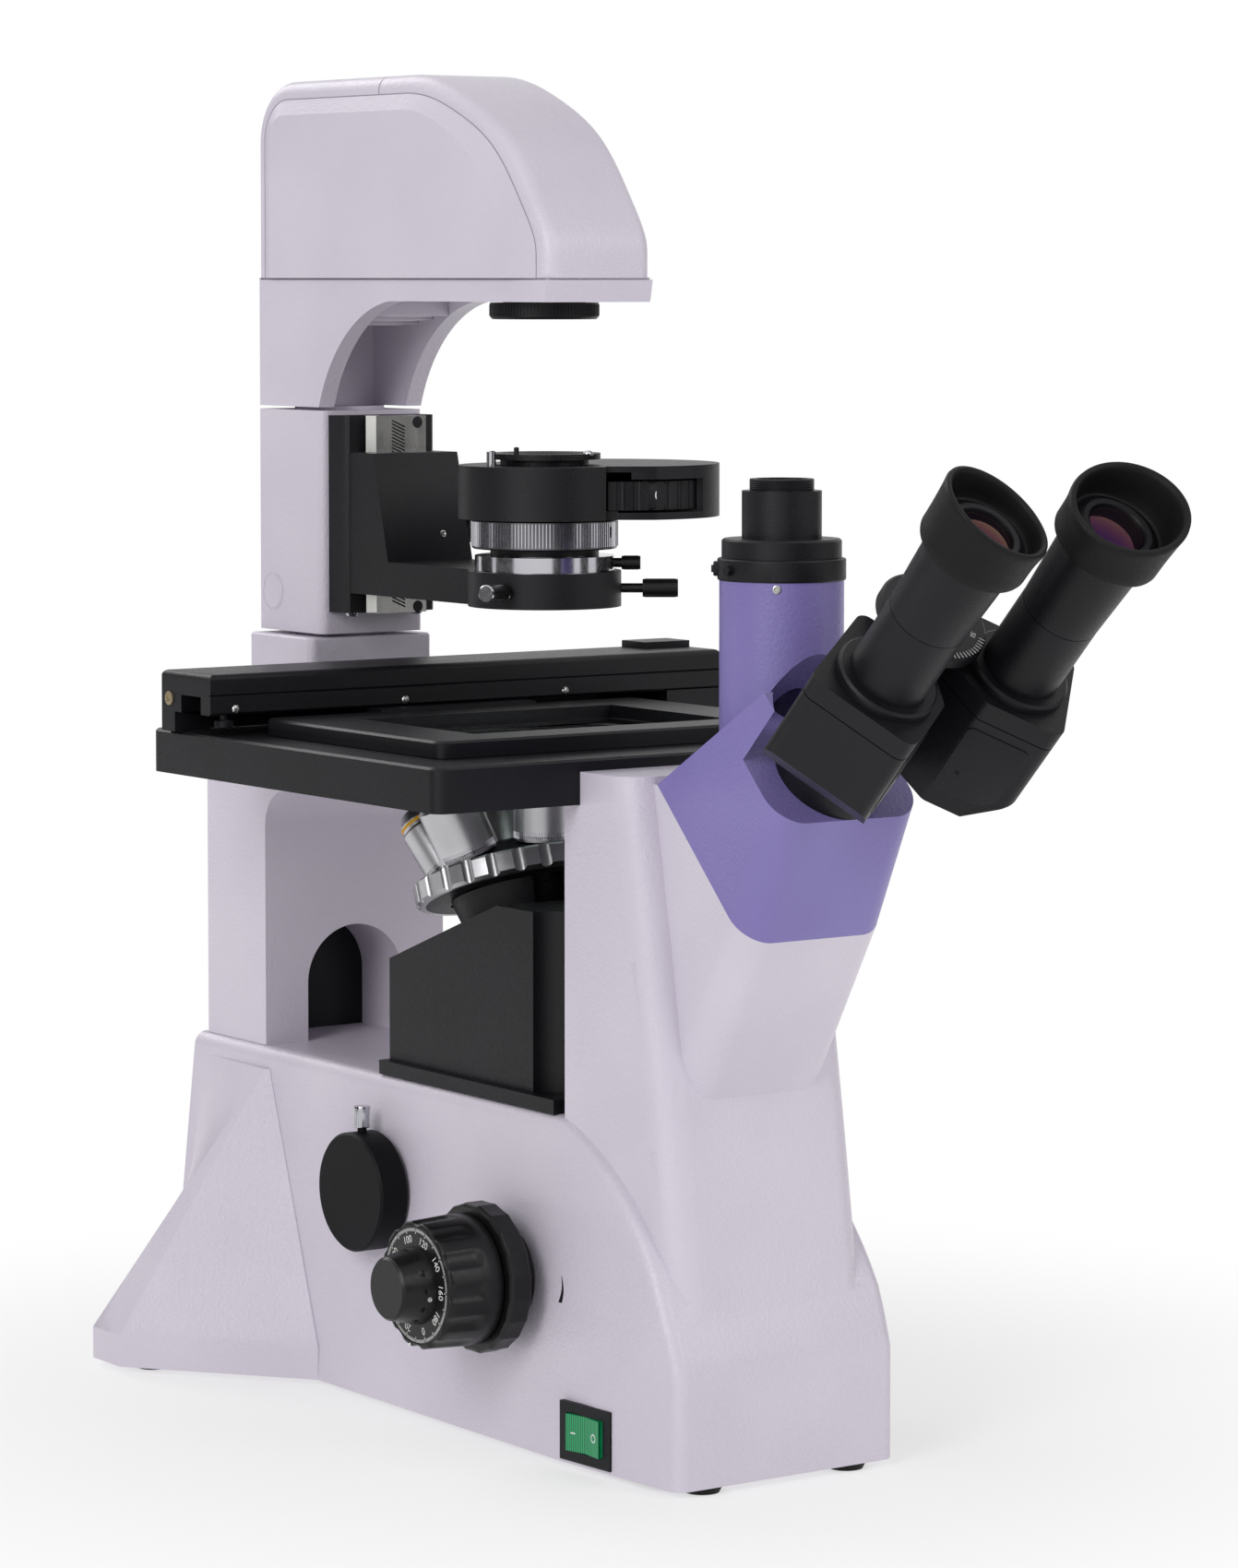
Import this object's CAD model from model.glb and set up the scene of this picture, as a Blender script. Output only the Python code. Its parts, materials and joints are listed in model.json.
import json
from math import cos, pi, radians, sin, tan

import bmesh
import bpy
from mathutils import Matrix, Vector

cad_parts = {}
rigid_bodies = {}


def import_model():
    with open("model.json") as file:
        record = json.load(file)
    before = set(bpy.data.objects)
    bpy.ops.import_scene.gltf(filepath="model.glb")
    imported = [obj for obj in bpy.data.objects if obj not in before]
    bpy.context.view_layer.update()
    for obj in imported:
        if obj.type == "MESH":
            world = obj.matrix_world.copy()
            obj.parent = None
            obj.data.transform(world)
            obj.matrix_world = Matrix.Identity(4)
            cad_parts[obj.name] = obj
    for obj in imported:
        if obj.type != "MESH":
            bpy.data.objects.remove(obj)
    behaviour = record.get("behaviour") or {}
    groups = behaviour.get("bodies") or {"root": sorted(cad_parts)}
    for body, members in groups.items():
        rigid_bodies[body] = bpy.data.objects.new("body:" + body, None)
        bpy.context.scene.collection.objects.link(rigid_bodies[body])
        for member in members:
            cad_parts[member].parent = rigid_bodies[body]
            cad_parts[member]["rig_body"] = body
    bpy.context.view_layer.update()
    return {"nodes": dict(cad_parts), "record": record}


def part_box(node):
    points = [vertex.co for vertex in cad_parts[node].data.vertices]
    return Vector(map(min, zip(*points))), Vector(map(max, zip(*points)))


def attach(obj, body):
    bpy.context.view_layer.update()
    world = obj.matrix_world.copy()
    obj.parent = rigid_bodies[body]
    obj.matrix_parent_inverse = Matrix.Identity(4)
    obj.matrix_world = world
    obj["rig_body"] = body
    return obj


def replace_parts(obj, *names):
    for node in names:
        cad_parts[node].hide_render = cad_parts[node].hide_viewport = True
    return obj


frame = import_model()

MM = 0.001
FLOOR_Z = -3.0

# Levels and axes of the microscope, in millimetres, as its solids have them.
HEAD_ORIGIN = Vector((0, -162, 248))
HEAD_AXIS = Vector((0, -cos(radians(45)), sin(radians(45))))
FOCUS_Y = -57.0
FOCUS_Z = 70.0
PORT_Y = 47.0
SHELL_SMOOTH = 28


# Selecting and placing

def leave_all():
    if bpy.context.mode != "OBJECT":
        bpy.ops.object.mode_set(mode="OBJECT")
    bpy.ops.object.select_all(action="DESELECT")


def take(piece):
    leave_all()
    piece.select_set(True)
    bpy.context.view_layer.objects.active = piece


def open_mesh(piece):
    take(piece)
    bpy.ops.object.mode_set(mode="EDIT")
    bpy.ops.mesh.select_mode(type="FACE")
    bpy.ops.mesh.select_all(action="DESELECT")


def close_mesh():
    bpy.ops.object.mode_set(mode="OBJECT")


def pick_faces(piece, test):
    bpy.ops.mesh.select_mode(type="FACE")
    bpy.ops.mesh.select_all(action="DESELECT")
    mesh = bmesh.from_edit_mesh(piece.data)
    for face in mesh.faces:
        if test(face.calc_center_median() / MM, face.normal):
            face.select_set(True)
    bmesh.update_edit_mesh(piece.data)


def pick_edges(piece, test):
    bpy.ops.mesh.select_mode(type="EDGE")
    bpy.ops.mesh.select_all(action="DESELECT")
    mesh = bmesh.from_edit_mesh(piece.data)
    for edge in mesh.edges:
        a, b = edge.verts[0].co / MM, edge.verts[1].co / MM
        if test(a, b):
            edge.select_set(True)
    bmesh.update_edit_mesh(piece.data)


def seat(origin, axis=(0, 0, 1), across=(1, 0, 0)):
    z = Vector(axis).normalized()
    side = Vector(across)
    if side.cross(z).length < 0.01:
        side = Vector((0, 1, 0))
    x = (side - z * z.dot(side)).normalized()
    place = Matrix((x, z.cross(x), z)).transposed().to_4x4()
    place.translation = Vector(origin) * MM
    return place


def put(piece, place):
    take(piece)
    piece.matrix_world = place
    bpy.ops.object.transform_apply(location=True, rotation=True, scale=True)


def done(piece, body, finish, smooth=32):
    take(piece)
    bpy.ops.object.shade_smooth_by_angle(angle=radians(smooth))
    piece.data.materials.clear()
    piece.data.materials.append(finish)
    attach(piece, body)
    leave_all()
    return piece


def again(piece, name):
    take(piece)
    bpy.ops.object.duplicate(linked=False)
    copy = bpy.context.object
    copy.name = name
    return copy


def plain_copy(piece, name):
    copy = again(piece, name)
    copy.parent = None
    for key in list(copy.keys()):
        if key.startswith("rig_"):
            del copy[key]
    return copy


def joined(name, pieces):
    take(pieces[0])
    for piece in pieces[1:]:
        piece.select_set(True)
    bpy.ops.object.join()
    whole = bpy.context.object
    whole.name = name
    return whole


# Starting shapes

def turned(name, profile, steps=96):
    leave_all()
    bpy.ops.mesh.primitive_circle_add(vertices=len(profile), radius=MM)
    piece = bpy.context.object
    piece.name = name
    bpy.ops.object.mode_set(mode="EDIT")
    mesh = bmesh.from_edit_mesh(piece.data)
    mesh.verts.ensure_lookup_table()
    for corner, (radius, height) in zip(mesh.verts, profile):
        corner.co = (radius * MM, 0, height * MM)
    bmesh.update_edit_mesh(piece.data)
    bpy.ops.mesh.select_all(action="SELECT")
    bpy.ops.mesh.spin(steps=steps, angle=2 * pi, center=(0, 0, 0), axis=(0, 0, 1))
    bpy.ops.mesh.select_all(action="SELECT")
    bpy.ops.mesh.remove_doubles(threshold=1e-6)
    bpy.ops.mesh.dissolve_degenerate(threshold=1e-7)
    bpy.ops.mesh.select_all(action="SELECT")
    bpy.ops.mesh.normals_make_consistent(inside=False)
    close_mesh()
    return piece


# Finishes

def srgb(red, green, blue):
    parts = [c / 255 for c in (red, green, blue)]
    return tuple(((c + 0.055) / 1.055) ** 2.4 if c > 0.04 else c / 12.92 for c in parts) + (1.0,)


def finish_of(name, **sockets):
    finish = bpy.data.materials.new(name)
    finish.use_nodes = True
    shader = finish.node_tree.nodes["Principled BSDF"]
    for socket, value in sockets.items():
        shader.inputs[socket.replace("_", " ")].default_value = value
    return finish, finish.node_tree, shader


def add_node(tree, kind, **settings):
    node = tree.nodes.new(kind)
    for key, value in settings.items():
        setattr(node, key, value)
    return node


def object_places(tree, scale=(1, 1, 1)):
    where = add_node(tree, "ShaderNodeTexCoord")
    mapping = add_node(tree, "ShaderNodeMapping")
    mapping.inputs["Scale"].default_value = scale
    tree.links.new(where.outputs["Object"], mapping.inputs["Vector"])
    return mapping.outputs["Vector"]


def noise(tree, places, scale, detail=3.0, roughness=0.5):
    node = add_node(tree, "ShaderNodeTexNoise")
    node.inputs["Scale"].default_value = scale
    node.inputs["Detail"].default_value = detail
    node.inputs["Roughness"].default_value = roughness
    tree.links.new(places, node.inputs["Vector"])
    return node.outputs["Fac"]


def shades(tree, amount, shader, low, high, start=0.35, end=0.65):
    ramp = add_node(tree, "ShaderNodeValToRGB")
    ramp.color_ramp.elements[0].position = start
    ramp.color_ramp.elements[0].color = low
    ramp.color_ramp.elements[1].position = end
    ramp.color_ramp.elements[1].color = high
    tree.links.new(amount, ramp.inputs["Fac"])
    tree.links.new(ramp.outputs["Color"], shader.inputs["Base Color"])
    return ramp


def gloss(tree, amount, shader, low, high):
    spread = add_node(tree, "ShaderNodeMapRange")
    spread.inputs["From Min"].default_value = 0.3
    spread.inputs["From Max"].default_value = 0.7
    spread.inputs["To Min"].default_value = low
    spread.inputs["To Max"].default_value = high
    tree.links.new(amount, spread.inputs["Value"])
    tree.links.new(spread.outputs["Result"], shader.inputs["Roughness"])


def relief(tree, amount, shader, depth, strength=1.0, under=None):
    bump = add_node(tree, "ShaderNodeBump")
    bump.inputs["Distance"].default_value = depth * MM
    bump.inputs["Strength"].default_value = strength
    tree.links.new(amount, bump.inputs["Height"])
    if under is not None:
        tree.links.new(under, bump.inputs["Normal"])
    tree.links.new(bump.outputs["Normal"], shader.inputs["Normal"])
    return bump.outputs["Normal"]


def enamel(name, low, high):
    finish, tree, shader = finish_of(name, Coat_Weight=0.12, Coat_Roughness=0.3, Specular_IOR_Level=0.45)
    places = object_places(tree)
    peel = noise(tree, places, 720.0, 2.0, 0.45)
    cloud = noise(tree, places, 14.0, 2.0)
    shades(tree, cloud, shader, low, high)
    gloss(tree, peel, shader, 0.34, 0.46)
    swell = relief(tree, noise(tree, places, 260.0, 1.0), shader, 0.18, 0.6)
    relief(tree, peel, shader, 0.32, 0.8, swell)
    return finish


def satin_black(name, low, high, grain, depth, rough, shine):
    finish, tree, shader = finish_of(name, Specular_IOR_Level=shine)
    places = object_places(tree)
    fine = noise(tree, places, grain, 3.0, 0.6)
    shades(tree, noise(tree, places, 22.0, 3.0), shader, low, high)
    gloss(tree, fine, shader, rough - 0.05, rough + 0.08)
    relief(tree, fine, shader, depth, 0.7)
    return finish


def drawn_metal(name, low, high, rough, stretch=(1, 1, 1), metal=1.0):
    finish, tree, shader = finish_of(name, Metallic=metal)
    lines = noise(tree, object_places(tree, stretch), 420.0, 2.0, 0.5)
    cloud = noise(tree, object_places(tree), 45.0, 2.0)
    shades(tree, cloud, shader, low, high)
    gloss(tree, lines, shader, rough - 0.02, rough + 0.02)
    relief(tree, lines, shader, 0.0003, 0.2)
    return finish


lilac_enamel = enamel("lilac_enamel", srgb(204, 197, 211), srgb(210, 203, 216))
violet_enamel = enamel("violet_enamel", srgb(122, 110, 172), srgb(128, 117, 178))
stage_black = satin_black("stage_black", srgb(13, 13, 17), srgb(18, 18, 23), 1100.0, 0.14, 0.42, 0.26)
moulded_black = satin_black("moulded_black", srgb(12, 12, 16), srgb(17, 17, 22), 1400.0, 0.11, 0.44, 0.26)
knob_black = satin_black("knob_black", srgb(12, 12, 13), srgb(16, 16, 17), 600.0, 0.015, 0.34, 0.3)
cap_black = satin_black("cap_black", srgb(11, 11, 14), srgb(15, 15, 19), 1200.0, 0.08, 0.5, 0.13)
cup_rubber = satin_black("cup_rubber", srgb(13, 13, 14), srgb(17, 17, 18), 700.0, 0.03, 0.55, 0.2)
bright_chrome = drawn_metal("bright_chrome", srgb(180, 180, 186), srgb(190, 190, 195), 0.15)
ground_steel = drawn_metal("ground_steel", srgb(166, 166, 164), srgb(184, 183, 180), 0.26, (1, 1, 0.06))
milled_silver = drawn_metal("milled_silver", srgb(182, 182, 185), srgb(194, 194, 197), 0.34)
knurl_steel = drawn_metal("knurl_steel", srgb(92, 92, 96), srgb(108, 108, 112), 0.3)
lamp_alloy = drawn_metal("lamp_alloy", srgb(150, 150, 153), srgb(170, 170, 172), 0.4)


def clear_glass(name, tint):
    finish, tree, shader = finish_of(name, Transmission_Weight=1.0, IOR=1.5, Base_Color=tint)
    smear = noise(tree, object_places(tree), 35.0, 3.0)
    gloss(tree, smear, shader, 0.0, 0.04)
    return finish


def coated_lens(name):
    finish, tree, shader = finish_of(name, Transmission_Weight=0.35, IOR=1.6, Base_Color=srgb(30, 24, 34))
    shader.inputs["Thin Film Thickness"].default_value = 330.0
    shader.inputs["Thin Film IOR"].default_value = 1.38
    smear = noise(tree, object_places(tree), 60.0, 2.0)
    gloss(tree, smear, shader, 0.02, 0.07)
    return finish


insert_glass = clear_glass("insert_glass", srgb(225, 240, 233))
eye_lens = coated_lens("eye_lens")
silvered = drawn_metal("silvered", srgb(225, 225, 228), srgb(235, 235, 237), 0.08)


def lit_green(name):
    finish, tree, shader = finish_of(name, Specular_IOR_Level=0.5)
    places = object_places(tree)
    bars = add_node(tree, "ShaderNodeTexWave")
    bars.bands_direction = "Y"
    bars.inputs["Scale"].default_value = 320.0
    bars.inputs["Distortion"].default_value = 0.6
    tree.links.new(places, bars.inputs["Vector"])
    ramp = shades(tree, bars.outputs["Fac"], shader, srgb(4, 84, 50), srgb(18, 150, 92), 0.2, 0.8)
    tree.links.new(ramp.outputs["Color"], shader.inputs["Emission Color"])
    shader.inputs["Emission Strength"].default_value = 0.22
    gloss(tree, noise(tree, places, 200.0), shader, 0.2, 0.3)
    return finish


rocker_green = lit_green("rocker_green")

SLOT_FINISH = {
    "paint": lilac_enamel,
    "head_paint": violet_enamel,
    "black_metal": stage_black,
    "black_plastic": moulded_black,
    "knob_plastic": knob_black,
    "rubber": cup_rubber,
    "chrome": bright_chrome,
    "steel": ground_steel,
    "silver": milled_silver,
    "glass": insert_glass,
    "mirror": silvered,
    "switch_green": rocker_green,
    "lamp_metal": lamp_alloy,
}


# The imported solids, as smooth shaded copies

node_slot = {part["node"]: part["material_slot"] for part in frame["record"]["subparts"]}


def dress(node, smooth):
    piece = plain_copy(frame["nodes"][node], node + "_shell")
    open_mesh(piece)
    bpy.ops.mesh.select_all(action="SELECT")
    bpy.ops.mesh.remove_doubles(threshold=2e-6)
    bpy.ops.mesh.customdata_custom_splitnormals_clear()
    close_mesh()
    slot = node_slot[node]
    done(piece, frame["nodes"][node]["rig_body"], SLOT_FINISH[slot], smooth=smooth)
    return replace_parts(piece, node)


SHARP_NODES = {"lamp_side_panels": 9}
shells = {node: dress(node, SHARP_NODES.get(node, SHELL_SMOOTH)) for node in frame["nodes"]}
shells["iris_ring"].data.materials[0] = knurl_steel
shells["port_cap"].data.materials[0] = cap_black


# Small turned and cut pieces

def block(name, size, middle=(0, 0, 0), bevel=0.0):
    leave_all()
    bpy.ops.mesh.primitive_cube_add(size=MM)
    piece = bpy.context.object
    piece.name = name
    bpy.ops.object.mode_set(mode="EDIT")
    bpy.ops.mesh.select_all(action="SELECT")
    bpy.ops.transform.resize(value=size)
    bpy.ops.transform.translate(value=Vector(middle) * MM)
    if bevel:
        bpy.ops.mesh.bevel(offset=bevel * MM, segments=2, affect="EDGES")
    close_mesh()
    return piece


FULL_TURN = 2 * pi


def round_copies(piece, count, sweep=FULL_TURN):
    steps = count - 1
    angle = sweep * steps / count if sweep == FULL_TURN else sweep
    open_mesh(piece)
    bpy.ops.mesh.select_all(action="SELECT")
    bpy.ops.mesh.spin(steps=steps, dupli=True, angle=angle, center=(0, 0, 0), axis=(0, 0, 1))
    close_mesh()
    return piece


def ridges(name, radius, low, high, count, width, height):
    middle = Vector((radius, 0, (low + high) / 2))
    piece = block(name, (2 * height, width, high - low), middle)
    open_mesh(piece)
    pick_faces(piece, lambda center, normal: normal.x > 0.9)
    bpy.ops.transform.resize(value=(1, 0.5, 0.96), center_override=middle * MM)
    close_mesh()
    return round_copies(piece, count)


def cap_screw(name, radius, height):
    bore = radius * 0.55
    floor = height * 0.35
    profile = [
        (0, floor), (bore * 0.9, floor), (bore, floor + 0.1), (bore, height - 0.1), (bore + 0.1, height),
        (radius * 0.88, height), (radius, height * 0.8), (radius, -0.6), (0, -0.6),
    ]
    return turned(name, profile, 24)


def slotted_screw(name, radius, height):
    profile = [
        (0, height), (radius * 0.5, height * 0.94), (radius * 0.82, height * 0.68), (radius, height * 0.2),
        (radius, -0.6), (0, -0.6),
    ]
    piece = turned(name, profile, 24)
    half = radius * 0.16
    open_mesh(piece)
    for side in (-half, half):
        bpy.ops.mesh.select_all(action="SELECT")
        bpy.ops.mesh.bisect(plane_co=(side * MM, 0, 0), plane_no=(1, 0, 0))
    pick_faces(piece, lambda center, normal: normal.z > 0.2 and abs(center.x) < half)
    bpy.ops.mesh.extrude_region_move(TRANSFORM_OT_translate={"value": (0, 0, -0.4 * height * MM)})
    close_mesh()
    return piece


LETTER_DEPTH = 0.05


def lettering(name, text, size):
    leave_all()
    bpy.ops.object.text_add()
    piece = bpy.context.object
    piece.name = name
    piece.data.body = text
    piece.data.size = size * MM
    piece.data.align_x = "CENTER"
    piece.data.align_y = "CENTER"
    piece.data.extrude = LETTER_DEPTH * MM
    piece.data.resolution_u = 4
    bpy.ops.object.convert(target="MESH")
    piece = bpy.context.object
    piece.name = name
    return piece


def landing(node, start, aim):
    found, place, normal, _ = shells[node].ray_cast(Vector(start) * MM, Vector(aim).normalized())
    if not found:
        raise RuntimeError("no surface of " + node + " there")
    return place / MM, normal


def upright(normal):
    across = Vector((0, 0, 1)).cross(Vector(normal))
    return across if across.length > 0.01 else Vector((1, 0, 0))


# Inks and bright parts

def printed_ink(name, colour):
    finish, tree, shader = finish_of(name, Specular_IOR_Level=0.3)
    places = object_places(tree)
    low = tuple(c * 0.9 for c in colour[:3]) + (1.0,)
    shades(tree, noise(tree, places, 900.0, 2.0), shader, low, colour)
    gloss(tree, noise(tree, places, 400.0, 2.0), shader, 0.45, 0.6)
    return finish


dial_white = printed_ink("dial_white", srgb(228, 228, 226))
mark_black = printed_ink("mark_black", srgb(24, 22, 26))
crease_shade = printed_ink("crease_shade", srgb(146, 138, 154))
band_yellow = printed_ink("band_yellow", srgb(226, 168, 36))
band_green = printed_ink("band_green", srgb(60, 140, 80))
band_red = printed_ink("band_red", srgb(178, 40, 40))
bolt_brass = drawn_metal("bolt_brass", srgb(140, 122, 94), srgb(166, 150, 120), 0.4, metal=0.4)


# Shaping and fastening

def move_corners(piece, move):
    open_mesh(piece)
    mesh = bmesh.from_edit_mesh(piece.data)
    for corner in mesh.verts:
        move(corner.co)
    bmesh.update_edit_mesh(piece.data)
    close_mesh()


def fasten(piece, node, start, aim, body, finish):
    spot, normal = landing(node, start, aim)
    put(piece, seat(spot, normal))
    done(piece, body, finish)


# Focus drive: fluted knobs, tension ring, dial marks, index, set screws and the mark on the wall

COARSE_RADIUS = 27.0
COARSE_LENGTH = 26.1
COARSE_BORE = 5.2
COARSE_LIP = 24.1
COARSE_SINK = 2.1
COARSE_LEFT_X = -76.5
COARSE_RIGHT_X = 65.6
COARSE_FLUTES = 12
BARREL_STEPS = 17
BARREL_TAPER = 0.05
FLUTE_HALF = radians(8.5)
FLUTE_DEPTH = 1.3
FLUTE_START = 8.0
FLUTE_RUN = 5.0
SHAFT_END = 64.0

TENSION_RADIUS = 30.95
TENSION_BORE = 10.05
TENSION_WIDTH = 10.3
TENSION_X = -65.6
TENSION_SIDES = 20
TENSION_HOLLOW = 0.5

DIAL_VALUES = 200
DIAL_STEP = radians(1.8)
DIAL_TOP_VALUE = 110
DIAL_LEFT_X = -102.42
DIAL_RIGHT_X = 91.52
NUMBER_RADIUS = 18.7
NUMBER_SIZE = 4.4
INDEX_ANGLE = radians(190)
INDEX_RADIUS = 25.5
INDEX_X = -102.6

MARK_LENGTH = 11.0
MARK_TIP = 0.12
MARK_SPREAD = 1.1
MARK_BOW = 1.3
MARK_LIFT = 0.09


def focus_seat(x, side):
    return seat((x, FOCUS_Y, FOCUS_Z), (side, 0, 0), (0, 0, 1))


def flute_share(flat, count, half):
    pitch = 2 * pi / count
    off = (Vector((1, 0)).angle_signed(flat) + pitch / 2) % pitch - pitch / 2
    return max(0.0, 1 - (off / half) ** 2)


def cut_flutes(corner):
    flat = Vector((corner.x, corner.y))
    level = corner.z / MM
    if flat.length > (COARSE_LIP + 0.2) * MM and level > FLUTE_START:
        rise = min(1.0, (level - FLUTE_START) / FLUTE_RUN)
        share = flute_share(flat, COARSE_FLUTES, FLUTE_HALF)
        flat *= 1 - FLUTE_DEPTH * share * (1 - (1 - rise) ** 2) / COARSE_RADIUS
        corner.x, corner.y = flat


def coarse_grip(name, x, side):
    rim, end = COARSE_RADIUS, COARSE_LENGTH
    profile = [(COARSE_BORE, 0.0), (rim - 1.6, 0.0), (rim - 0.5, 0.5), (rim, 1.6)]
    profile += [(rim - BARREL_TAPER * step, FLUTE_START - 1 + step) for step in range(BARREL_STEPS)]
    profile += [(rim - 0.9, end - 0.9), (rim - 1.4, end - 0.3), (rim - 2.2, end)]
    profile += [(COARSE_LIP, end), (COARSE_LIP, end - COARSE_SINK), (COARSE_BORE, end - COARSE_SINK)]
    grip = turned(name, profile, 216)
    move_corners(grip, cut_flutes)
    put(grip, focus_seat(x, side))
    return grip


shaft = shells["coarse_knobs"]
open_mesh(shaft)
pick_faces(shaft, lambda center, normal: abs(center.x) > SHAFT_END)
bpy.ops.mesh.delete(type="FACE")
close_mesh()
left_grip = coarse_grip("coarse_left", COARSE_LEFT_X, -1)
right_grip = coarse_grip("coarse_right", COARSE_RIGHT_X, 1)
joined("coarse_knobs_shell", [shaft, left_grip, right_grip])
done(shaft, "coarse_focus", knob_black, smooth=40)


def scallop(corner):
    flat = Vector((corner.x, corner.y))
    if flat.length > (TENSION_RADIUS - 1.95) * MM:
        share = flute_share(flat, TENSION_SIDES, pi / TENSION_SIDES)
        flat *= 1 - TENSION_HOLLOW * share / TENSION_RADIUS
        corner.x, corner.y = flat


tension_grip = turned(
    "tension_grip",
    [
        (TENSION_BORE, 0.0), (TENSION_RADIUS - 1.5, 0.0), (TENSION_RADIUS - 0.5, 0.4), (TENSION_RADIUS, 1.2),
        (TENSION_RADIUS, TENSION_WIDTH - 1.4), (TENSION_RADIUS - 0.5, TENSION_WIDTH - 0.5),
        (TENSION_RADIUS - 1.6, TENSION_WIDTH), (TENSION_BORE, TENSION_WIDTH),
    ],
    240,
)
move_corners(tension_grip, scallop)
put(tension_grip, focus_seat(TENSION_X, -1))
done(tension_grip, "tension", knob_black, smooth=24)
bpy.data.objects.remove(shells.pop("tension_ring"))
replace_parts(tension_grip, "tension_ring")


def dial_marks(name, face_x, side):
    short = round_copies(block(name, (1.3, 0.24, 0.1), (22.75, 0, 0)), DIAL_VALUES)
    long = round_copies(block(name + "_long", (2.2, 0.3, 0.1), (22.3, 0, 0)), DIAL_VALUES // 10)
    marks = [short, long]
    for value in range(0, DIAL_VALUES, 20):
        angle = -(value - DIAL_TOP_VALUE) * DIAL_STEP
        number = lettering(name + "_number", str(value), NUMBER_SIZE)
        spot = Vector((NUMBER_RADIUS * cos(angle), NUMBER_RADIUS * sin(angle), 0.1)) * MM
        put(number, Matrix.Translation(spot) @ Matrix.Rotation(angle - pi / 2, 4, "Z"))
        marks.append(number)
    whole = joined(name, marks)
    put(whole, focus_seat(face_x, side))
    done(whole, "fine_focus", dial_white)


dial_marks("dial_marks_left", DIAL_LEFT_X, -1)
dial_marks("dial_marks_right", DIAL_RIGHT_X, 1)

index_out = Vector((0, -sin(INDEX_ANGLE), cos(INDEX_ANGLE)))
index_spot = Vector((INDEX_X, FOCUS_Y, FOCUS_Z)) + index_out * INDEX_RADIUS
leave_all()
bpy.ops.mesh.primitive_cylinder_add(vertices=3, radius=1.3 * MM, depth=0.3 * MM)
dial_index = bpy.context.object
dial_index.name = "dial_index"
open_mesh(dial_index)
pick_faces(dial_index, lambda center, normal: normal.z > 0.9)
bpy.ops.mesh.inset(thickness=0.12 * MM, depth=0.05 * MM)
close_mesh()
put(dial_index, seat(index_spot, (-1, 0, 0), -index_out))
done(dial_index, "coarse_focus", dial_white)

for knob_x, hand in ((-105.2, "left"), (94.3, "right")):
    fine_set_screw = cap_screw("fine_set_screw_" + hand, 1.1, 0.35)
    start = (knob_x, FOCUS_Y - 40, FOCUS_Z - 3)
    fasten(fine_set_screw, "fine_knobs", start, (0, 1, 0), "fine_focus", ground_steel)


def bow_mark(corner):
    along = corner.y / MM + 0.5
    width = MARK_TIP + MARK_SPREAD * (1 - along)
    bow = MARK_BOW * (1 - (2 * along - 1) ** 2)
    corner.x = (bow + corner.x / MM * 2 * width) * MM
    corner.y = (along - 0.5) * MARK_LENGTH * MM


leave_all()
bpy.ops.mesh.primitive_grid_add(x_subdivisions=2, y_subdivisions=14, size=MM)
turn_mark = bpy.context.object
turn_mark.name = "tension_turn_mark"
move_corners(turn_mark, bow_mark)
open_mesh(turn_mark)
bpy.ops.mesh.select_all(action="SELECT")
bpy.ops.mesh.solidify(thickness=0.08 * MM)
close_mesh()
spot, normal = landing("main_casting", (-120, -93, 69), (1, 0, 0))
put(turn_mark, seat(spot + normal * MARK_LIFT, normal, upright(normal)))
done(turn_mark, "stand", mark_black)


# Condenser: knurls, neck, screws, pins and the wheel's numbers

IRIS_RADIUS = 30.9
CLAMP_LEVEL = 348.0
CLAMP_HEADING = -35
SECOND_HEADING = -154
SECOND_START = 35.5
SECOND_LENGTH = 13.0
FLANGE_LEVEL = 358.75
COVER_TOP = 400.2
RIM_TOP = 405.2
WHEEL_RADIUS = 45.0
WHEEL_STATIONS = 5
WHEEL_FACING = Vector((-0.1046, -0.9946, 0))

iris_knurl = ridges("iris_knurl", IRIS_RADIUS, 366.0, 376.6, 132, 0.95, 0.3)
done(iris_knurl, "iris", bright_chrome)
iris_notch = block("iris_notch", (1.0, 1.7, 4.6), (IRIS_RADIUS, 0, 372.2), 0.2)
put(iris_notch, Matrix.Rotation(radians(-61.5), 4, "Z"))
done(iris_notch, "iris", moulded_black)

neck_band = turned("neck_band", [(22.6, 362.05), (23.0, 362.05), (23.0, 364.65), (22.6, 364.65)], 72)
done(neck_band, "condenser", stage_black)

field_knurl = ridges("field_knurl", 23.0, 463.0, 468.0, 96, 0.9, 0.28)
done(field_knurl, "field_iris", moulded_black)

knob_grip = ridges("condenser_knob_grip", 9.0, 2.0, 12.5, 36, 0.8, 0.22)
_, knob_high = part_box("condenser_knob")
put(knob_grip, seat((knob_high[0] / MM - 15.0, 101, 371.5), (1, 0, 0)))
done(knob_grip, "condenser_drive", knob_black)


def screw_grip(name, heading, level, start, length, radius):
    out = Vector((cos(radians(heading)), sin(radians(heading)), 0))
    grip = ridges(name, radius, 0.7, length - 0.7, 26, radius * 0.13, 0.16)
    put(grip, seat(out * start + Vector((0, 0, level)), out))
    done(grip, "condenser", knob_black)
    return out


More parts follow.
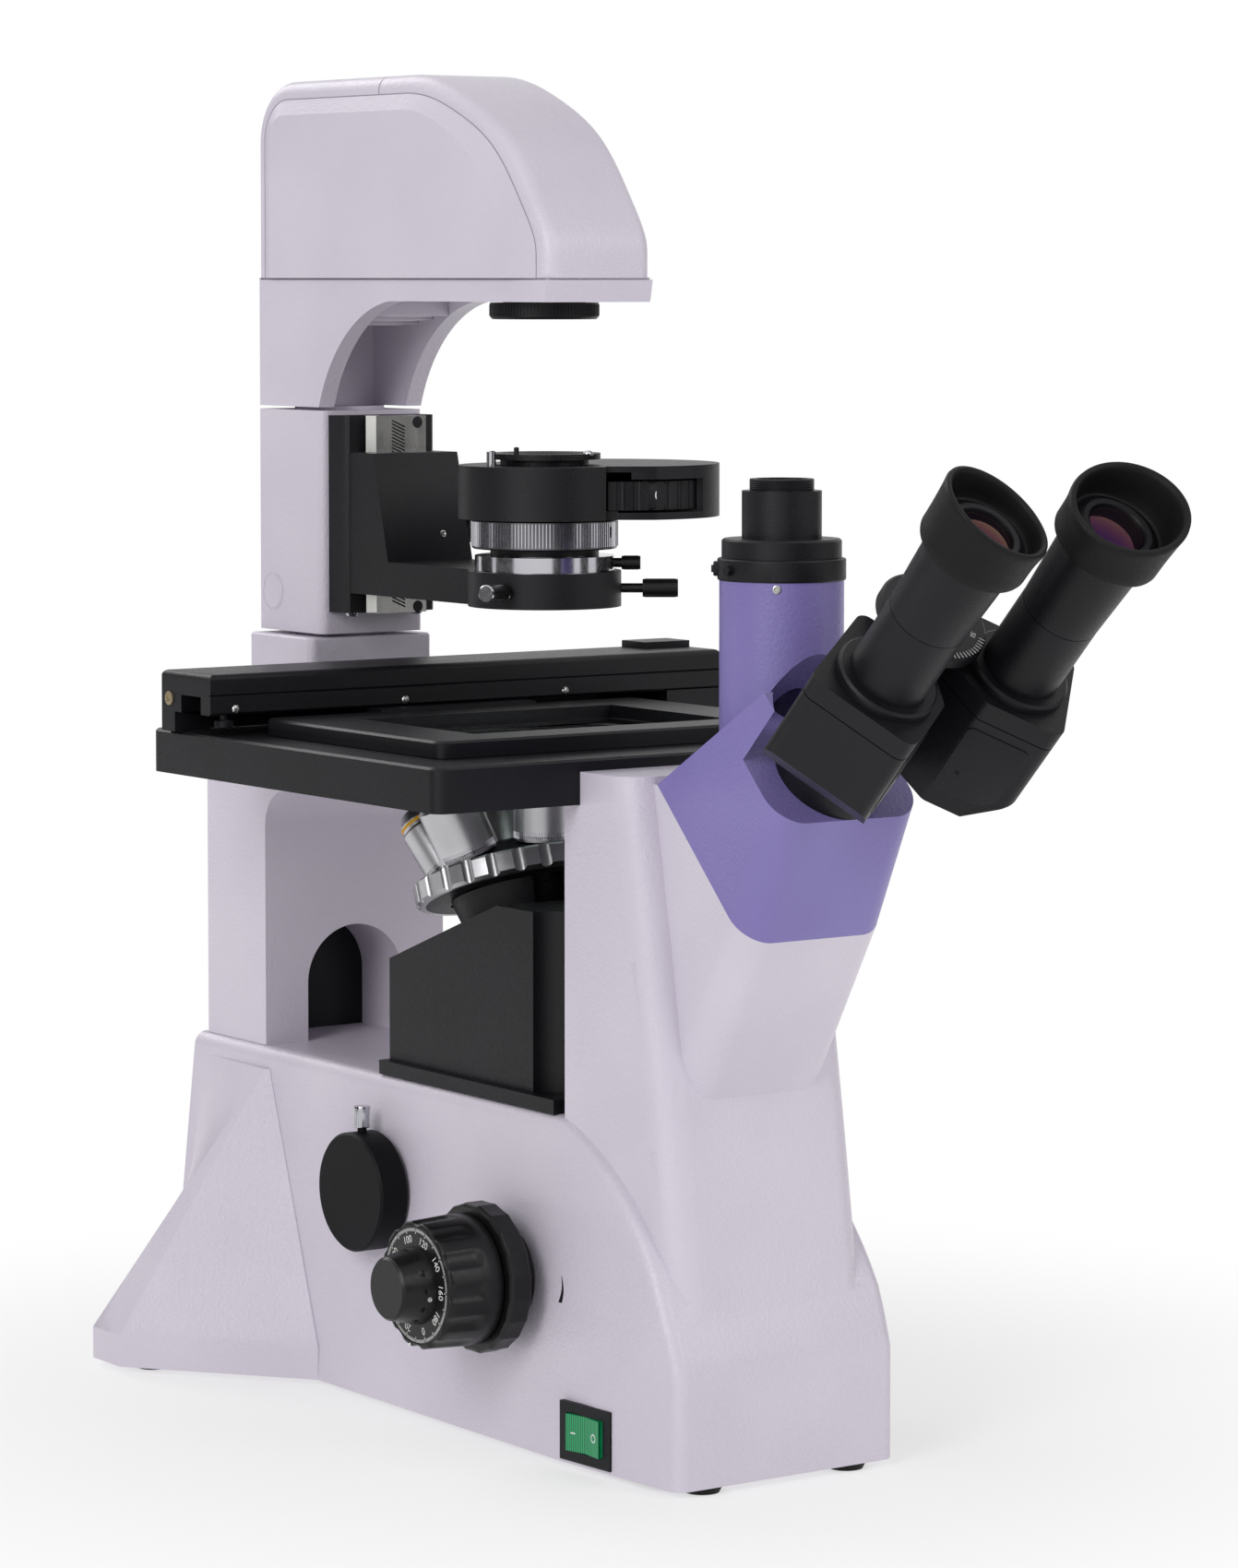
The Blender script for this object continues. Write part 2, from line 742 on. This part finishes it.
screw_grip("clamp_grip", CLAMP_HEADING, CLAMP_LEVEL, 41.5, 15.0, 3.8)
screw_grip("flange_grip", CLAMP_HEADING, FLANGE_LEVEL, 32.6, 8.0, 2.85)
second_out = screw_grip("second_grip", SECOND_HEADING, CLAMP_LEVEL, SECOND_START, SECOND_LENGTH, 3.8)
bright_end = turned("bright_screw_end", [(0, 0.7), (3.3, 0.7), (3.75, 0.25), (3.75, -0.4), (0, -0.4)], 40)
second_end = second_out * (SECOND_START + SECOND_LENGTH) + Vector((0, 0, CLAMP_LEVEL))
put(bright_end, seat(second_end, second_out))
done(bright_end, "condenser", bright_chrome)

for name, radius, height, start, aim in (
    ("ring_set_screw", 1.8, 0.9, (-60, -33, 346.5), (0.862, 0.507, 0)),
    ("bracket_screw", 1.5, 0.3, (8.6, 60, 367), (0, 1, 0)),
):
    set_screw = cap_screw(name, radius, height)
    fasten(set_screw, "condenser_bracket", start, aim, "condenser", ground_steel)

steel_pin = turned("cover_pin", [(0, 6.4), (1.6, 6.4), (2.0, 6.0), (2.0, -0.5), (0, -0.5)], 32)
put(steel_pin, seat((-27, 0, COVER_TOP)))
done(steel_pin, "condenser", bright_chrome)
black_pin = turned("rim_pin", [(0, 3.0), (0.8, 3.0), (1.1, 2.6), (1.1, -0.5), (0, -0.5)], 24)
put(black_pin, seat((-20, -8.5, RIM_TOP)))
done(black_pin, "condenser", stage_black)
rim_screw = slotted_screw("rim_screw", 2.3, 1.4)
put(rim_screw, seat((8.5, -20, RIM_TOP)))
done(rim_screw, "condenser", bright_chrome)

wheel_low, wheel_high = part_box("phase_wheel")
wheel_centre = Vector((35.0638, 4.74666, (wheel_low[2] + wheel_high[2]) / 2 / MM))
for value in range(WHEEL_STATIONS):
    facing = WHEEL_FACING.copy()
    facing.rotate(Matrix.Rotation(2 * pi * value / WHEEL_STATIONS, 3, "Z"))
    rim_pad = block("wheel_pad_" + str(value), (9.0, 11.0, 1.6), (0, 0, 0), 0.3)
    put(rim_pad, seat(wheel_centre + facing * (WHEEL_RADIUS - 0.95), facing, upright(facing)))
    done(rim_pad, "phase_selector", moulded_black)
    wheel_number = lettering("wheel_number_" + str(value), str(value), 5.6)
    put(wheel_number, seat(wheel_centre + facing * (WHEEL_RADIUS - 0.12), facing, upright(facing)))
    done(wheel_number, "phase_selector", dial_white)


# Column: plugs, rack marks and screws of the rail

PLUG_Y = 177.5
PLUG_Z = 338.7
RAIL_FACE_Y = 112.5
RACK_PITCH = 1.5
RACK_ROWS = 54

for side, hand in ((-1, "left"), (1, "right")):
    column_plug = turned(
        "column_plug_" + hand,
        [
            (0, 0.5), (6.4, 0.45), (7.4, 0.3), (7.7, -0.1), (8.0, -0.1), (8.1, 0.25), (8.5, 0.25),
            (8.6, -0.6), (0, -0.6),
        ],
        48,
    )
    fasten(column_plug, "column", (side * 80, PLUG_Y, PLUG_Z), (-side, 0, 0), "stand", lilac_enamel)

rack_line = block("rack_marks", (7.4, 0.06, 0.7))
put(rack_line, Matrix.Rotation(radians(24), 4, "Y"))
rows = rack_line.modifiers.new("rows", "ARRAY")
rows.use_relative_offset = False
rows.use_constant_offset = True
rows.constant_offset_displace = (0, 0, RACK_PITCH * MM)
rows.count = RACK_ROWS
bpy.ops.object.modifier_apply(modifier="rows")
put(rack_line, Matrix.Translation(Vector((-1.5, RAIL_FACE_Y, 335.5)) * MM))
done(rack_line, "stand", mark_black)

for level, end in ((334.0, "low"), (415.5, "high")):
    rail_screw = turned(
        "rail_screw_" + end,
        [(0, 0.03), (1.2, 0.03), (2.4, 0.04), (2.6, 0.0), (2.6, -1), (0, -1)],
        24,
    )
    put(rail_screw, seat((8.5, RAIL_FACE_Y, level), (0, -1, 0)))
    done(rail_screw, "stand", stage_black)
for side, hand in ((-1, "left"), (1, "right")):
    stop_screw = slotted_screw("stop_screw_" + hand, 3.0, 2.2)
    put(stop_screw, seat((17 * side, 127, 331.5), (0, 0, -1)))
    done(stop_screw, "stand", bright_chrome)


# Camera tube: screws and thread

TUBE_Y = -167.5
THREAD_FOOT = 395.5
THREAD_PITCH = 0.8
THREAD_TURNS = 5

tube_out = Vector((-0.659, -0.752, 0))
tube_start = Vector((0, TUBE_Y, 357)) + tube_out * 60
tube_screw = cap_screw("tube_screw", 1.7, 0.5)
fasten(tube_screw, "camera_tube", tube_start, -tube_out, "stand", ground_steel)

ring_out = Vector((-0.8192, 0.5736, 0))
ring_start = Vector((0, TUBE_Y, 364)) + ring_out * 60
clamp_screw = turned(
    "clamp_ring_screw",
    [(0, 2.4), (1.4, 2.4), (1.5, 1.6), (2.6, 1.6), (3.0, 1.1), (3.0, -1), (0, -1)],
    24,
)
fasten(clamp_screw, "camera_clamp_ring", ring_start, -ring_out, "stand", moulded_black)

thread_profile = [(12.2, THREAD_FOOT - 0.1)]
for turn in range(THREAD_TURNS):
    low = THREAD_FOOT + THREAD_PITCH * turn
    thread_profile += [(12.7, low), (12.95, low + 0.3), (12.95, low + 0.45), (12.7, low + 0.7)]
thread_profile.append((12.2, THREAD_FOOT + THREAD_PITCH * THREAD_TURNS))
lip_thread = turned("lip_thread", thread_profile, 72)
put(lip_thread, Matrix.Translation(Vector((0, TUBE_Y, 0)) * MM))
done(lip_thread, "stand", moulded_black)


# Mechanical stage: screws along the bar, slot, bolt and thumb wheel at its end, hole in the stage

BAR_FRONT_Y = 75.0
BAR_END_X = -119.0
SLOT_FRONT_Y = 83.0
SLOT_REAR_Y = 99.5
SLOT_TOP = 301.5
SLOT_DEPTH = 9.0
BOLT_Y = 109.4
WHEEL_RIM = 3.9

for number, x in enumerate((-107.4, -22.0, 62.1)):
    edge_screw = slotted_screw("bar_screw_" + str(number), 1.9, 0.9)
    put(edge_screw, seat((x, BAR_FRONT_Y, 296.4), (0, -1, 0)))
    done(edge_screw, "gantry", ground_steel)

bar_shell = shells["gantry_bar"]
open_mesh(bar_shell)
for level, plane in ((SLOT_FRONT_Y, (0, 1, 0)), (SLOT_REAR_Y, (0, 1, 0)), (SLOT_TOP, (0, 0, 1))):
    bpy.ops.mesh.select_all(action="SELECT")
    bpy.ops.mesh.bisect(plane_co=Vector(plane) * level * MM, plane_no=plane)


def slot_face(center, normal):
    on_end = normal.x < -0.9 and center.x < BAR_END_X
    return on_end and SLOT_FRONT_Y < center.y < SLOT_REAR_Y and center.z < SLOT_TOP


pick_faces(bar_shell, slot_face)
bpy.ops.mesh.extrude_region_move(TRANSFORM_OT_translate={"value": (SLOT_DEPTH * MM, 0, 0)})
close_mesh()
take(bar_shell)
bpy.ops.object.shade_smooth_by_angle(angle=radians(SHELL_SMOOTH))

spot, normal = landing("gantry_cover", (-200, BOLT_Y, 304), (1, 0, 0))
bar_bolt = cap_screw("bar_bolt", 3.0, 0.7)
put(bar_bolt, seat((spot.x, BOLT_Y, 299.5), (-1, 0, 0)))
done(bar_bolt, "gantry", bolt_brass)

stage_hole = turned(
    "stage_hole",
    [(0, -0.4), (3.6, -0.4), (4.2, 0.06), (5.0, 0.06), (5.2, 0), (5.2, -0.6), (0, -0.6)],
    40,
)
put(stage_hole, seat((-27.6, -90.0, 285.0)))
done(stage_hole, "stand", stage_black)

wheel_disc = turned(
    "bar_wheel_disc",
    [
        (0, -5.6), (WHEEL_RIM - 0.3, -5.6), (WHEEL_RIM, -5.2), (WHEEL_RIM, -2.8), (WHEEL_RIM - 0.3, -2.4),
        (1.6, -2.4), (1.6, 0.5), (0, 0.5),
    ],
    48,
)
wheel_teeth = ridges("bar_wheel_teeth", WHEEL_RIM, -5.0, -3.0, 36, 0.45, 0.2)
bar_wheel = joined("bar_wheel", [wheel_disc, wheel_teeth])
put(bar_wheel, Matrix.Translation(Vector((-110.5, 80.0, 294.0)) * MM))
done(bar_wheel, "gantry", stage_black)


# Objectives: knurled grips and colour bands

NOSE_TILT = radians(20.5)
NOSE_AXIS = Vector((0, sin(NOSE_TILT), cos(NOSE_TILT)))
APEX = Vector((0, 0, 161.9613))
SEAT_ALONG = 78.6387
BAND_SHARE = 0.82
BAND_HALF = 0.7
OBJECTIVES = (
    (0, 13.2, 33.4, band_green), (1, 13.2, 33.4, band_red), (2, 11.0, 32.4, band_yellow),
    (3, 13.2, 31.4, band_green), (4, 11.0, 19.4, band_red),
)
for station, radius, length, ink in OBJECTIVES:
    along = Matrix.Rotation(radians(-72 * station), 3, NOSE_AXIS) @ Vector((0, 0, 1))
    place = seat(APEX + along * SEAT_ALONG, along, (0, 1, 0))
    grip = ridges("objective_grip_" + str(station), radius, 1.2, 4.2, 90, 0.5, 0.12)
    put(grip, place)
    done(grip, "turret", bright_chrome)
    level = length * BAND_SHARE
    middle = APEX + along * (SEAT_ALONG + level)
    side = along.cross(Vector((0, 0, 1)))
    side = side.normalized() if side.length > 0.01 else Vector((1, 0, 0))
    spot, _ = landing("objectives", middle + side * 40, -side)
    girth = (spot - middle).length
    low, high = level - BAND_HALF, level + BAND_HALF
    band_profile = [(girth - 0.6, low), (girth + 0.04, low), (girth + 0.04, high), (girth - 0.6, high)]
    colour_band = turned("colour_band_" + str(station), band_profile, 72)
    put(colour_band, place)
    done(colour_band, "turret", ink)


# Eyepieces: rolled rubber cups, lens and its ring

CUP_SLANT = radians(13.0)
CUP_SLANT_START = 213.0
CUP_SLANT_RUN = 14.0
CUP_PROFILE = [
    (17.75, 209.5), (21.0, 209.5), (21.7, 209.9), (22.0, 210.7), (22.05, 214.0), (22.15, 218.0),
    (22.4, 222.0), (22.75, 226.0), (23.0, 227.8), (23.1, 229.0), (22.8, 230.1), (22.1, 230.6),
    (21.2, 230.5), (20.5, 229.8), (20.1, 228.6), (19.7, 226.0), (19.3, 222.0), (19.0, 218.2),
    (18.6, 217.6), (17.75, 217.5),
]
LENS_PROFILE = [
    (0, 220.2), (3, 220.1), (6, 219.75), (9, 219.1), (11.2, 218.4), (11.6, 217.9), (11.6, 217.4), (0, 217.4),
]
LENS_RING_PROFILE = [
    (11.6, 217.2), (11.6, 218.3), (12.2, 219.4), (14.2, 219.8), (15.4, 219.2), (17.2, 217.6), (17.2, 217.2),
]


def slant_rim(corner):
    share = max(0.0, min(1.0, (corner.z / MM - CUP_SLANT_START) / CUP_SLANT_RUN))
    corner.z += share * share * corner.x * tan(CUP_SLANT)


for side, hand in ((-1, "left"), (1, "right")):
    body = hand + "_eyepiece"
    place = seat((32 * side, -178.9706, 231.0294), HEAD_AXIS, (side, 0, 0))
    cup = turned("rolled_eyecup_" + hand, CUP_PROFILE, 96)
    move_corners(cup, slant_rim)
    put(cup, place)
    done(cup, body, cup_rubber, smooth=60)
    bpy.data.objects.remove(shells.pop("eyecup_" + hand))
    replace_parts(cup, "eyecup_" + hand)
    lens = turned("eye_lens_" + hand, LENS_PROFILE, 72)
    put(lens, place)
    done(lens, body, eye_lens)
    ring = turned("lens_ring_" + hand, LENS_RING_PROFILE, 72)
    put(ring, place)
    done(ring, body, moulded_black)


# Head: seam and panels of the prism boxes, scale of the eye distance

BOX_SEAM = 126.5
SCALE_LEVEL = 145.15
SCALE_START = -40
SCALE_FIGURE_STEP = 25
SCALE_FIGURE_RADIUS = 16.6
BOX_UNDER = Vector((0, -cos(radians(45)), -sin(radians(45))))


def cut_ring(piece, point, axis, width, depth, test=None):
    axis = Vector(axis)
    open_mesh(piece)
    for offset in (0, width):
        bpy.ops.mesh.select_all(action="SELECT")
        bpy.ops.mesh.bisect(plane_co=(Vector(point) + axis * offset) * MM, plane_no=axis)
    base = Vector(point).dot(axis)

    def between(center, normal):
        level = center.dot(axis) - base
        return 0 < level < width and abs(normal.dot(axis)) < 0.7 and (test is None or test(center, normal))

    pick_faces(piece, between)
    bpy.ops.mesh.extrude_region_shrink_fatten(TRANSFORM_OT_shrink_fatten={"value": -depth * MM})
    close_mesh()
    take(piece)
    bpy.ops.object.shade_smooth_by_angle(angle=radians(SHELL_SMOOTH))
    leave_all()


for hand in ("left", "right"):
    cut_ring(shells["prism_box_" + hand], HEAD_ORIGIN + HEAD_AXIS * BOX_SEAM, HEAD_AXIS, 0.5, 0.5)

scale_place = seat(HEAD_ORIGIN + HEAD_AXIS * SCALE_LEVEL, HEAD_AXIS, (1, 0, 0))
distance_ticks = round_copies(block("distance_ticks", (2.6, 0.35, 0.1), (20.6, 0, 0)), 26, radians(125))
put(distance_ticks, scale_place @ Matrix.Rotation(radians(SCALE_START), 4, "Z"))
distance_marks = [distance_ticks]
for number, value in enumerate(range(50, 80, 5)):
    angle = radians(SCALE_START + SCALE_FIGURE_STEP * number)
    figure = lettering("distance_figure", str(value), 3.0)
    spot = Vector((SCALE_FIGURE_RADIUS * cos(angle), SCALE_FIGURE_RADIUS * sin(angle), 0)) * MM
    put(figure, scale_place @ Matrix.Translation(spot) @ Matrix.Rotation(angle - pi / 2, 4, "Z"))
    distance_marks.append(figure)
distance_scale = joined("distance_scale", distance_marks)
done(distance_scale, "stand", dial_white)


def box_panel(hand, side):
    node = "prism_box_" + hand
    arm_line = Vector((0.8 * side, 0, 0)) + BOX_UNDER * 0.6
    inward = Vector((-0.6 * side, 0, 0)) + BOX_UNDER * 0.8
    spot, normal = landing(node, HEAD_ORIGIN + HEAD_AXIS * 105 + arm_line * 43 + inward * 60, -inward)
    panel = block("box_panel_" + hand, (26, 34, 0.7))
    open_mesh(panel)
    bpy.ops.mesh.select_all(action="SELECT")
    cut = Vector((1, -side, 0)).normalized()
    bpy.ops.mesh.bisect(plane_co=cut * 17.0 * MM, plane_no=cut, use_fill=True, clear_outer=True)
    pick_edges(panel, lambda a, b: abs(a.z - b.z) > 0.5)
    bpy.ops.mesh.bevel(offset=2.5 * MM, segments=5, affect="EDGES")
    pick_faces(panel, lambda center, normal: normal.z > 0.9)
    bpy.ops.mesh.inset(thickness=0.3 * MM, depth=0.0)
    bpy.ops.transform.translate(value=(0, 0, 0.15 * MM))
    close_mesh()
    pin = turned("panel_pin", [(0, 0.3), (0.5, 0.3), (0.6, 0.46), (0.8, 0.52), (0.9, 0.3), (0, 0.2)], 20)
    put(pin, Matrix.Translation(Vector((-7, -6 * side, 0.2)) * MM))
    panel = joined("box_panel_" + hand, [panel, pin])
    put(panel, seat(spot, normal, arm_line))
    done(panel, frame["nodes"][node]["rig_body"], moulded_black)


box_panel("left", -1)
box_panel("right", 1)


# Lamp arm: groove under the hood and ribs below the tray

GROOVE_FOOT = 478.2
TRAY_UNDERSIDE = 469.0


def outer_wall(center, normal):
    return abs(center.x) > 26.0 or center.y < -40.0 or center.y > 189.5


cut_ring(shells["lamp_arm"], (0, 0, GROOVE_FOOT), (0, 0, 1), 0.75, 1.5, outer_wall)
for number, y in enumerate((104, 116, 128)):
    depth = 7.0 + 2.0 * number
    rib = block("tray_rib_" + str(number), (37.5, 3.0, depth), (0, y, TRAY_UNDERSIDE - depth / 2), 0.8)
    open_mesh(rib)
    pick_faces(rib, lambda center, normal: normal.z < -0.9)
    bpy.ops.transform.resize(value=(0.55, 0.8, 1), center_override=Vector((0, y, TRAY_UNDERSIDE)) * MM)
    close_mesh()
    done(rib, "stand", lilac_enamel)


# Hood: crease round the foot of the side panels

PANEL_FOOT = 26.8
CREASE_START = 480.0

crease = plain_copy(shells["lamp_side_panels"], "panel_crease")
open_mesh(crease)
bpy.ops.mesh.select_mode(type="EDGE")
mesh = bmesh.from_edit_mesh(crease.data)
for edge in mesh.edges:
    ends = [corner.co / MM for corner in edge.verts]
    on_foot = all(abs(abs(end.x) - PANEL_FOOT) < 0.05 for end in ends)
    raised = any(end.z > CREASE_START for end in ends)
    edge.select_set(on_foot and raised and edge.is_manifold and edge.calc_face_angle() > 0.1)
bmesh.update_edit_mesh(crease.data)
bpy.ops.mesh.select_all(action="INVERT")
bpy.ops.mesh.delete(type="EDGE")
close_mesh()
take(crease)
bpy.ops.object.convert(target="CURVE")
crease = bpy.context.object
crease.data.bevel_depth = 0.24 * MM
crease.data.bevel_resolution = 2
crease.data.use_fill_caps = True
bpy.ops.object.convert(target="MESH")
crease = bpy.context.object
done(crease, "stand", crease_shade)


# Port screw and the marks on the switch

SWITCH_TURN = radians(4.3)
SWITCH_SPOT = Vector((-58.79, -116, 13.5))
SWITCH_OUT = Vector((-cos(SWITCH_TURN), -sin(SWITCH_TURN), 0))
SWITCH_ALONG = Vector((sin(SWITCH_TURN), -cos(SWITCH_TURN), 0))
MARK_SHIFT = 6.5

screw_sleeve = turned(
    "port_screw_sleeve",
    [
        (3.1, 117.0), (3.34, 117.0), (3.5, 117.4), (3.5, 125.6), (3.34, 126.1), (0, 126.1), (0, 125.4),
        (3.1, 125.4),
    ],
    48,
)
screw_knurl = ridges("port_screw_knurl", 3.45, 117.6, 125.4, 26, 0.5, 0.2)
port_screw = joined("port_screw", [screw_sleeve, screw_knurl])
put(port_screw, Matrix.Translation(Vector((-62.6, PORT_Y, 0)) * MM))
done(port_screw, "side_port", bright_chrome)

on_mark = block("switch_mark_dash", (2.6, 0.6, 0.12), (0, 0, 0), 0.03)
off_mark = turned("switch_mark_circle", [(1.3, -0.05), (1.3, 0.06), (1.8, 0.06), (1.8, -0.05)], 40)
for shift, switch_mark in ((-MARK_SHIFT, on_mark), (MARK_SHIFT, off_mark)):
    spot, normal = landing("rocker", SWITCH_SPOT + SWITCH_ALONG * shift + SWITCH_OUT * 30, -SWITCH_OUT)
    put(switch_mark, seat(spot, normal, SWITCH_ALONG))
    done(switch_mark, "power_rocker", dial_white)


# Rear: screws of the power inlet, the lamp arm and the column foot

INLET_SCREW_INSET = 4.0
REAR_SCREWS = (("arm_screw_", "lamp_arm", 14.0, 440.0), ("foot_screw_", "column_foot", 16.0, 300.0))
inlet_low, inlet_high = (Vector(corner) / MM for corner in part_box("power_inlet"))
inlet_middle = (inlet_low + inlet_high) / 2
inlet_reach = (inlet_high.x - inlet_low.x) / 2 - INLET_SCREW_INSET


def rear_screw(screw, node, x, z, finish):
    fasten(screw, node, (x, 300, z), (0, -1, 0), "stand", finish)


for side, hand in ((-1, "left"), (1, "right")):
    inlet_x = inlet_middle.x + side * inlet_reach
    inlet_screw = slotted_screw("inlet_screw_" + hand, 2.2, 0.9)
    rear_screw(inlet_screw, "power_inlet", inlet_x, inlet_middle.z, ground_steel)
    for name, node, x, z in REAR_SCREWS:
        rear_screw(cap_screw(name + hand, 3.2, 0.8), node, side * x, z, stage_black)


# Floor, light and camera

FLOOR_FADE_START = 0.12
FLOOR_FADE_END = 0.50
FLOOR_FADE_LEAST = 0.56
WORLD_LIGHT = 0.42
SUBJECT = (0, 0, 0.3)
LAMP_AIM = (0, 0, 0.25)
CAMERA_PLACE = (-1.217, -1.793, 0.479)
CAMERA_HEADING = radians(35)
CAMERA_DIP = radians(3.9)


def pale_floor():
    leave_all()
    bpy.ops.mesh.primitive_plane_add(size=12, location=(0, 0, FLOOR_Z * MM))
    floor = bpy.context.object
    floor.name = "pale_floor"
    finish, tree, shader = finish_of(
        "studio_white", Roughness=0.7, Specular_IOR_Level=0.1, Base_Color=(0.92, 0.92, 0.92, 1)
    )
    out = tree.nodes["Material Output"]
    glow = add_node(tree, "ShaderNodeEmission")
    where = add_node(tree, "ShaderNodeTexCoord")
    reach = add_node(tree, "ShaderNodeVectorMath", operation="LENGTH")
    fade = add_node(tree, "ShaderNodeMapRange", interpolation_type="SMOOTHSTEP")
    fade.inputs["From Min"].default_value = FLOOR_FADE_START
    fade.inputs["From Max"].default_value = FLOOR_FADE_END
    fade.inputs["To Min"].default_value = FLOOR_FADE_LEAST
    blend = add_node(tree, "ShaderNodeMixShader")
    tree.links.new(where.outputs["Object"], reach.inputs[0])
    tree.links.new(reach.outputs["Value"], fade.inputs["Value"])
    tree.links.new(fade.outputs["Result"], blend.inputs["Fac"])
    tree.links.new(shader.outputs["BSDF"], blend.inputs[1])
    tree.links.new(glow.outputs["Emission"], blend.inputs[2])
    tree.links.new(blend.outputs["Shader"], out.inputs["Surface"])
    floor.data.materials.append(finish)
    leave_all()


def white_world():
    world = bpy.data.worlds.new("studio")
    bpy.context.scene.world = world
    world.use_nodes = True
    tree = world.node_tree
    light = tree.nodes["Background"]
    light.inputs["Color"].default_value = (1, 1, 1, 1)
    light.inputs["Strength"].default_value = WORLD_LIGHT
    shown = add_node(tree, "ShaderNodeBackground")
    shown.inputs["Color"].default_value = (1, 1, 1, 1)
    shown.inputs["Strength"].default_value = 1.0
    rays = add_node(tree, "ShaderNodeLightPath")
    either = add_node(tree, "ShaderNodeMath", operation="MAXIMUM")
    any_of = add_node(tree, "ShaderNodeMath", operation="MAXIMUM")
    blend = add_node(tree, "ShaderNodeMixShader")
    tree.links.new(rays.outputs["Is Camera Ray"], either.inputs[0])
    tree.links.new(rays.outputs["Is Glossy Ray"], either.inputs[1])
    tree.links.new(either.outputs["Value"], any_of.inputs[0])
    tree.links.new(rays.outputs["Is Transmission Ray"], any_of.inputs[1])
    tree.links.new(any_of.outputs["Value"], blend.inputs["Fac"])
    tree.links.new(light.outputs["Background"], blend.inputs[1])
    tree.links.new(shown.outputs["Background"], blend.inputs[2])
    tree.links.new(blend.outputs["Shader"], tree.nodes["World Output"].inputs["Surface"])


def soft_lamp(name, place, aim, width, power):
    leave_all()
    bpy.ops.object.light_add(type="AREA", location=place)
    lamp = bpy.context.object
    lamp.name = name
    lamp.data.shape = "RECTANGLE"
    lamp.data.size = width
    lamp.data.size_y = width * 1.4
    lamp.data.energy = power
    lamp.rotation_euler = (Vector(aim) - Vector(place)).to_track_quat("-Z", "Y").to_euler()
    lamp.visible_camera = False
    leave_all()


def dark_card(name, place, aim, width, height):
    leave_all()
    bpy.ops.mesh.primitive_plane_add(size=1)
    card = bpy.context.object
    card.name = name
    facing = (Vector(aim) - Vector(place)).to_track_quat("Z", "Y").to_matrix().to_4x4()
    put(card, Matrix.Translation(place) @ facing @ Matrix.Diagonal((width, height, 1, 1)))
    card.data.materials.append(card_black)
    card.visible_camera = False
    card.visible_diffuse = False
    card.visible_transmission = False
    card.visible_shadow = False
    leave_all()


card_black = satin_black("card_black", srgb(6, 6, 7), srgb(9, 9, 10), 40.0, 0.1, 0.8, 0.05)
pale_floor()
white_world()
dark_card("card_front", (-0.2, -3.4, 0.5), SUBJECT, 2.2, 2.6)
dark_card("card_left", (-3.6, 0.9, 0.6), SUBJECT, 2.4, 2.6)
dark_card("card_right", (3.2, -0.6, 0.6), SUBJECT, 2.4, 2.6)
dark_card("card_back", (0.6, 3.6, 0.6), SUBJECT, 2.0, 2.6)
dark_card("card_edge", (2.0, -2.9, 0.4), SUBJECT, 1.0, 1.8)
dark_card("card_corner", (-2.0, 3.0, 0.4), SUBJECT, 2.2, 1.8)
soft_lamp("lamp_left", (-2.4, -1.1, 1.5), LAMP_AIM, 1.1, 30.0)
soft_lamp("lamp_front", (0.8, -2.6, 1.7), LAMP_AIM, 1.4, 20.0)
soft_lamp("lamp_rear", (-0.2, 2.4, 1.9), SUBJECT, 1.1, 20.0)

leave_all()
bpy.ops.object.camera_add(location=CAMERA_PLACE)
camera = bpy.context.object
camera.name = "studio_camera"
camera.data.lens = 117.6
camera.data.sensor_width = 36.0
camera.data.shift_y = -0.10
heading = Vector((sin(CAMERA_HEADING), cos(CAMERA_HEADING), 0))
gaze = heading * cos(CAMERA_DIP) + Vector((0, 0, -sin(CAMERA_DIP)))
camera.rotation_euler = gaze.to_track_quat("-Z", "Y").to_euler()
camera.data.dof.use_dof = False
camera.data.clip_start = 0.05
bpy.context.scene.camera = camera
bpy.context.scene.view_settings.view_transform = "Standard"

leave_all()
